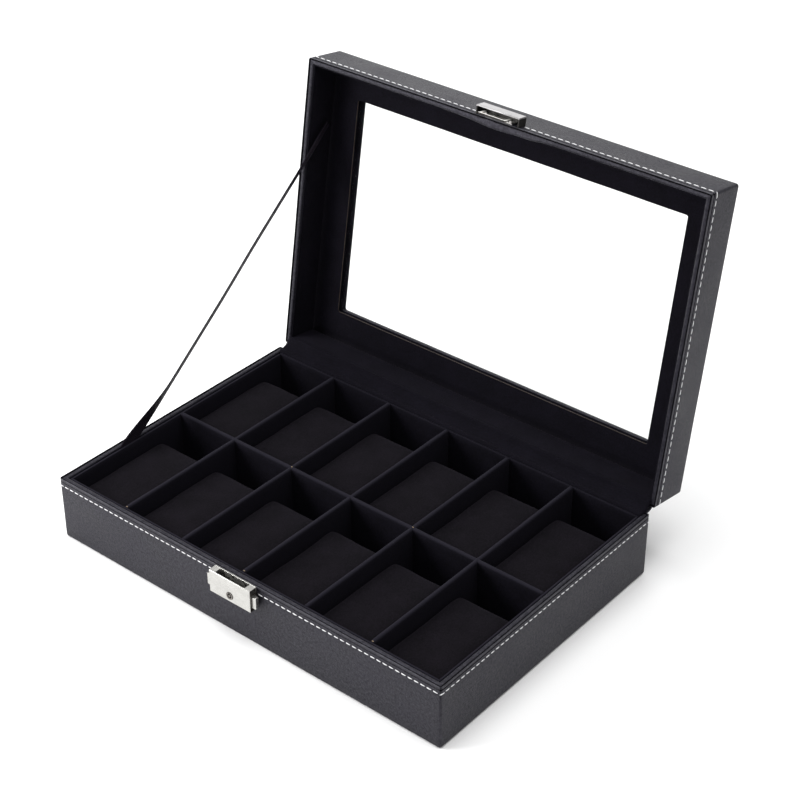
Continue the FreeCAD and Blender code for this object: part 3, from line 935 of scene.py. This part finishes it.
def make_specks():
    """Crumbs of bare card that show where the dividers meet the front lining and each other."""
    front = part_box("base_front_lining")[1].y
    for i in range(5):
        low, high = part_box(f"cross_divider_{i + 1}")
        x = (low.x + high.x) / 2 + 0.3 * mm
        for k, y in enumerate((front + 0.3 * mm, 0.2 * mm)):
            if (i + k) % 2:
                continue
            size = Vector((0.55, 0.30, 0.16)) * mm
            centre = Vector((x, y, high.z + 0.02 * mm))
            mesh = board_mesh("speck", centre - size, centre + size, 0.1 * mm, 0.1 * mm, 60.0 + i)
            piece(f"card_speck_{i + 1}_{k + 1}", mesh, "base", [bare_card])


# ---- pillows ----
def pillow_form(low, high):
    """A rounded block, a little smaller than the pillow's room."""
    room = Vector([pillow_room] * 3)
    form = box_form(low + room, high - room)
    bend = pillow_round * (high.x - low.x)
    bmesh.ops.bevel(form, geom=form.edges[:], offset=bend, segments=4, profile=0.5, affect="EDGES")
    mesh = bpy.data.meshes.new("pillow_form")
    form.to_mesh(mesh)
    form.free()
    return mesh


def simulated_pillow():
    """One stuffed pillow about the origin, swollen by cloth pressure and held in its room."""
    low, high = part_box("watch_pillow_front_1")
    centre = (low + high) / 2
    low, high = low - centre, high - centre
    block = put("pillow_form", pillow_form(low, high))
    bpy.context.view_layer.objects.active = block
    block.select_set(True)
    remesh = block.modifiers.new("remesh", "REMESH")
    remesh.mode = "VOXEL"
    remesh.voxel_size = pillow_voxel
    bpy.ops.object.modifier_apply(modifier="remesh")
    start = [v.co.copy() for v in block.data.vertices]
    cloth = block.modifiers.new("cloth", "CLOTH")
    for key, value in pillow_cloth.items():
        setattr(cloth.settings, key, value)
    cloth.settings.effector_weights.gravity = 0.0
    cloth.collision_settings.use_collision = False
    for number in range(1, pillow_frames + 1):
        bpy.context.scene.frame_set(number)
    bpy.ops.object.modifier_apply(modifier="cloth")
    bpy.context.scene.frame_set(1)
    mesh = block.data.copy()
    for vertex, first in zip(mesh.vertices, start):
        move = vertex.co - first
        if move.length > pillow_swell:
            move *= pillow_swell / move.length
        vertex.co = first + move
    bpy.data.objects.remove(block)
    settle(mesh, low, high)
    return divided(mesh)


def settle(mesh, low, high):
    """Presses the mesh softly into its room: it fills the room and stays inside it."""
    points = [v.co for v in mesh.vertices]
    for i in range(3):
        least = min(p[i] for p in points)
        most = max(p[i] for p in points)
        for p in points:
            p[i] = low[i] + (p[i] - least) / (most - least) * (high[i] - low[i])


def divided(mesh):
    """The mesh with one level of smooth subdivision applied."""
    thing = put("divided", mesh)
    modifier = thing.modifiers.new("smooth", "SUBSURF")
    modifier.levels = 1
    graph = bpy.context.evaluated_depsgraph_get()
    result = bpy.data.meshes.new_from_object(thing.evaluated_get(graph))
    bpy.data.objects.remove(thing)
    result.shade_smooth()
    return result


def make_pillows():
    model = simulated_pillow()
    for row in ("front", "rear"):
        for number in range(1, 7):
            name = f"pillow_{row}_{number}"
            low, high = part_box(f"watch_{name}")
            centre = (low + high) / 2
            reach = centre - low
            mesh = model.copy()
            seed = number * 3.1 + (17 if row == "rear" else 0)
            for vertex in mesh.vertices:
                p = vertex.co
                dent = 0.45 * mm * ripple(p, 40, seed) + 0.15 * mm * ripple(p, 140, seed)
                outward = Vector([p[i] / reach[i] for i in range(3)]).normalized()
                vertex.co = centre + p - outward * (pillow_inset + dent)
            thing = piece(name, mesh, name, [pillow_velvet], [f"watch_{name}"])


# ---- cloth strips ----
def smooth_path(points, steps):
    """Points along a Catmull-Rom curve through the given points, evenly many per span."""
    ends = [2 * points[0] - points[1]] + points + [2 * points[-1] - points[-2]]
    path = []
    for i in range(1, len(ends) - 2):
        a, b, c, d = ends[i - 1 : i + 3]
        for step in range(steps):
            t = step / steps
            bend = 2 * a - 5 * b + 4 * c - d
            twist = 3 * b - a - 3 * c + d
            path.append(0.5 * (2 * b + (c - a) * t + bend * t**2 + twist * t**3))
    path.append(points[-1])
    return path


def cloth_slab(name, grid, thickness):
    """A thin cloth of even thickness from a grid of points, with a map in metres."""
    rows, columns = len(grid), len(grid[0])
    top, bottom = [], []
    for i in range(rows):
        for j in range(columns):
            down = grid[min(i + 1, rows - 1)][j] - grid[max(i - 1, 0)][j]
            over = grid[i][min(j + 1, columns - 1)] - grid[i][max(j - 1, 0)]
            normal = down.cross(over).normalized()
            top.append(grid[i][j] + normal * thickness / 2)
            bottom.append(grid[i][j] - normal * thickness / 2)
    count = rows * columns
    faces = []
    for i in range(rows - 1):
        for j in range(columns - 1):
            a = i * columns + j
            quad = (a, a + 1, a + 1 + columns, a + columns)
            faces.append(quad)
            faces.append(tuple(count + k for k in reversed(quad)))
    rim = list(range(columns))
    rim += [i * columns + columns - 1 for i in range(1, rows)]
    rim += [(rows - 1) * columns + j for j in range(columns - 2, -1, -1)]
    rim += [i * columns for i in range(rows - 2, 0, -1)]
    for a, b in zip(rim, rim[1:] + rim[:1]):
        faces.append((a, b, count + b, count + a))
    mesh = mesh_of(name, top + bottom, faces)
    down = lengths_along([row[0] for row in grid])
    over = lengths_along(grid[0])
    layer = mesh.uv_layers.new(name="cloth")
    for loop in mesh.loops:
        k = loop.vertex_index % count
        layer.data[loop.index].uv = (over[k % columns], down[k // columns])
    return mesh, over[-1], down[-1]


def opened(y, z):
    """A point of the shut lid's section, in the open lid's place."""
    p = to_open @ Vector((0, y, z))
    return Vector((0, p.y, p.z))


def hinge_slab(name, node, line, thickness, slack, crease):
    """The cloth of a hinge strip along a line over the open joint.

    crease moves a point by its x and its share of the line. slack keeps the ends flat.
    """
    low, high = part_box(node)
    grid = []
    for i, point in enumerate(line):
        share = i / (len(line) - 1)
        loose = math.sin(math.pi * share) ** slack
        row = []
        for j in range(hinge_columns):
            across = (high.x - low.x + 2 * hinge_overlap) * j / (hinge_columns - 1)
            x = low.x - hinge_overlap + across
            row.append(Vector((x, point.y, point.z)) + crease(x, share) * loose)
        grid.append(row)
    return cloth_slab(name, grid, thickness)


def make_inner_hinge():
    """Velvet that lies on the back rim, creases across the gap and runs up the lid's lining."""
    rim = base_rim_high.z
    wall_in = half_width - 4.0 * mm
    face = closed_box("lid_back_lining")[0].y - 0.35 * mm
    path = [Vector((0, wall_in + y * mm, rim + z * mm)) for y, z in ((-0.75, -1.6), (-0.35, -0.25))]
    over_rim = ((-3.2, 0.75), (-1.3, 0.20), (0.6, 0.85), (2.6, 2.0), (4.0, 3.5), (4.9, 4.6))
    path += [Vector((0, half_width + y * mm, rim + z * mm)) for y, z in over_rim]
    up_lid = ((0.1, 0.4), (0.7, 2.2), (1.0, 5.0))
    path += [opened(face + y * mm, lid_low.z + z * mm) for y, z in up_lid]

    def crease(x, share):
        fold = ripple(Vector((x * 0.45, share * 0.05, 0)), 90, 3.0) * 0.5 * mm
        fine = ripple(Vector((x * 0.5, share * 0.02, 0)), 420, 8.0) * 0.22 * mm
        return Vector((0, -0.6 * fold, fold + fine))

    line = smooth_path(path, 5)
    node = "inner_hinge_strip"
    mesh, width, length = hinge_slab("hinge_lining", node, line, 0.45 * mm, 1.5, crease)
    strip = piece("hinge_lining", mesh, None, [hinge_velvet], [node])
    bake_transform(strip)


def make_outer_hinge():
    """The leather strip let into both covers at the back."""
    node = "outer_hinge_strip"
    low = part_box(node)[0]
    skin = half_width + hinge_proud - 0.3 * mm
    base_top, lid_bottom = base_high.z, lid_low.z
    path = [
        Vector((0, skin, low.z)),
        Vector((0, skin, low.z + 3.0 * mm)),
        Vector((0, skin, base_top - 2.4 * mm)),
        Vector((0, skin + 1.6 * mm, base_top - 1.4 * mm)),
        Vector((0, hinge_at.y + 0.2 * mm, hinge_at.z + 0.1 * mm)),
        opened(skin + 1.6 * mm, lid_bottom + 1.0 * mm),
    ]
    path += [opened(skin, lid_bottom + up * mm) for up in (2.2, 5.0, 7.9)]

    def crease(x, share):
        return Vector((0, 0, ripple(Vector((x * 0.5, share * 0.05, 0)), 150, 5.0) * 0.25 * mm))

    line = smooth_path(path, 4)
    mesh, width, length = hinge_slab("hinge_leather", node, line, 0.6 * mm, 3, crease)
    mesh.attributes.new("edge", "FLOAT", "POINT")
    strip = piece("hinge_leather", mesh, None, [cover_leather], [node])
    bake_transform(strip)


def eased(value, start, end):
    """0 before start, 1 after end, smooth between."""
    share = min(1.0, max(0.0, (value - start) / (end - start)))
    return share * share * (3 - 2 * share)


def make_strap():
    """The ribbon that stops the lid: flat at both ends, turned edge-on between.

    Its lower part sags beside the rear pillow and its upper part stands off the lid's wall.
    """
    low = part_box("restraint_strap")[0]
    lower = Vector((low.x + 0.25 * mm, strap_low_y, base_high.z))
    upper = opened(strap_high_y, strap_high_z)
    upper.x = low.x + 0.9 * mm
    along = (upper - lower).normalized()
    start = lower - along * 8 * mm
    finish = upper - along * 1.2 * mm
    across = Vector((0, -along.z, along.y))
    grid = []
    for i in range(strap_rows):
        share = i / (strap_rows - 1)
        middle = start.lerp(finish, share)
        at_end = eased(share, 0.84, 1.0)
        turned = eased(share, 0.02, 0.22) ** 0.8 * (1 - 0.55 * at_end)
        narrow = 1 - 0.5 * at_end
        cupped = 0.8 * mm * eased(share, 0.84, 0.95)
        turn = strap_turn * turned
        bowed = math.sin(turn) / math.sin(strap_turn)
        off_wall = eased(share, 0.44, 0.66)
        middle.x += bowed * (strap_hug + (strap_bow - strap_hug) * off_wall)
        middle -= across * (bowed * strap_sag * (1 - off_wall))
        row = []
        for k in range(strap_columns):
            side_share = 2 * k / (strap_columns - 1) - 1
            offset = side_share * narrow * strap_width / 2
            lift = offset * math.sin(turn) + cupped * side_share**2
            row.append(middle + across * (offset * math.cos(turn)) + Vector((lift, 0, 0)))
        grid.append(row)
    mesh, wide, length = cloth_slab("strap", grid, 0.4 * mm)
    strap = piece("strap", mesh, None, [black_ribbon], ["restraint_strap"])
    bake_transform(strap)


# ---- button springs ----
def make_springs():
    """The two coil springs of the lock, copied from their nodes in spring steel."""
    for side_name, inner in (("left", 1), ("right", 0)):
        node = f"{side_name}_button_spring"
        joint = next(j for j in frame["joints"] if j["name"] == f"{side_name}_button_press")
        travel = max(abs(v) for v in joint["range_m"])
        mesh = frame["nodes"][node].data.copy()
        mesh.materials.clear()
        spring = piece(f"coil_{side_name}", mesh, "base", [spring_steel], [node])
        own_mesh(spring)


# ---- CAD nodes that stay ----
def finish_node(node, material, bevel):
    """Gives a CAD node its material and, if bevel isn't 0, softened edges."""
    thing = frame["nodes"][node]
    if not thing.material_slots:
        thing.data.materials.append(material)
    for slot in thing.material_slots:
        slot.material = material
    if bevel:
        join = thing.modifiers.new("join", "WELD")
        join.merge_threshold = 0.002 * mm
        soften = thing.modifiers.new("soften", "BEVEL")
        soften.width = bevel
        soften.segments = 3
        soften.limit_method = "ANGLE"
        soften.angle_limit = math.radians(35)
        soften.harden_normals = True


def finish_nodes():
    base_boards = [f"base_{place}_board" for place in ("front", "back", "left", "right", "bottom")]
    lid_boards = [f"lid_{place}_board" for place in ("front", "back", "left", "right")]
    for nodes, material, bevel in (
        (["lock_back_plate", "lock_cover"], lock_nickel, metal_edge),
        (["hasp_plate"], hasp_nickel, metal_edge),
        (["lock_left_button", "lock_right_button"], nickel, metal_edge),
        (["hasp_loop"], loop_nickel, 0.12 * mm),
        (["lock_core"], core_nickel, small_edge),
        (["lock_rivets", "hasp_rivets"], nickel, small_edge),
        (base_boards + lid_boards, fibreboard, wood_edge),
        (["lid_top_frame"], fibreboard, 0),
        (["glass_pane"], clear_glass, 0),
    ):
        for node in nodes:
            finish_node(node, material, bevel)


def make_underside():
    """The flocked paper sheet under the box, flat where it rests."""
    low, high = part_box("underside_felt")
    mesh = board_mesh("underside", low, high, 0.2 * mm, 0.0, 50.0)
    piece("underside", mesh, "base", [flock_paper], ["underside_felt"])


# ---- studio ----
def make_floor():
    mesh = bpy.data.meshes.new("floor")
    size = 6.0
    corners = [(-size, -size, 0), (size, -size, 0), (size, size, 0), (-size, size, 0)]
    mesh.from_pydata(corners, [], [(0, 1, 2, 3)])
    m = Material("pale_floor")
    m.set(Roughness=0.9)
    m.colour(m.blend(m.noise(3.0), (0.93, 0.93, 0.93), (0.96, 0.96, 0.96)))
    mesh.materials.append(m.data)
    put("floor", mesh)


def aim(thing, place, direction):
    """Stands a lamp or the camera at a place, facing along a direction."""
    thing.location = place
    thing.rotation_mode = "QUATERNION"
    thing.rotation_quaternion = direction.to_track_quat("-Z", "Y")


def area_light(name, place, target, size, power):
    data = bpy.data.lights.new(name, "AREA")
    data.shape = "DISK"
    data.size = size
    data.energy = power
    aim(put(name, data), place, Vector(target) - Vector(place))


def make_studio():
    make_floor()
    world = bpy.data.worlds.new("studio")
    world.use_nodes = True
    background = world.node_tree.nodes["Background"]
    background.inputs["Color"].default_value = (1, 1, 1, 1)
    background.inputs["Strength"].default_value = 0.50
    bpy.context.scene.world = world
    centre = (0, 0, 0.1)
    area_light("key", (-0.80, -0.75, 0.60), (-0.10, -0.05, 0.05), 0.7, 15)
    area_light("back", (-1.05, 1.45, 0.75), centre, 1.4, 7)
    area_light("top", (0.1, 0.1, 2.0), centre, 1.6, 32)
    bpy.context.scene.view_settings.view_transform = "Standard"
    data = bpy.data.cameras.new("camera")
    data.lens = camera_lens
    data.sensor_width = 36
    data.clip_start = 0.01
    camera = put("camera", data)
    turn, rise = math.radians(camera_azimuth), math.radians(camera_elevation)
    level = Vector((math.sin(turn), -math.cos(turn), 0))
    aim(camera, camera_at, -level * math.cos(rise) - Vector((0, 0, math.sin(rise))))
    bpy.context.scene.camera = camera


# ---- build ----
make_studio()
make_base_leather()
make_lid_leather()
stitch_row("base_stitching", base_high.z - stitch_below_rim, base_stitch_pitch, "base")
stitch_row("lid_stitching", lid_low.z + stitch_below_rim, lid_stitch_pitch, "lid")
make_linings()
make_window_card()
make_specks()
make_pillows()
make_inner_hinge()
make_outer_hinge()
make_strap()
make_springs()
make_underside()
finish_nodes()
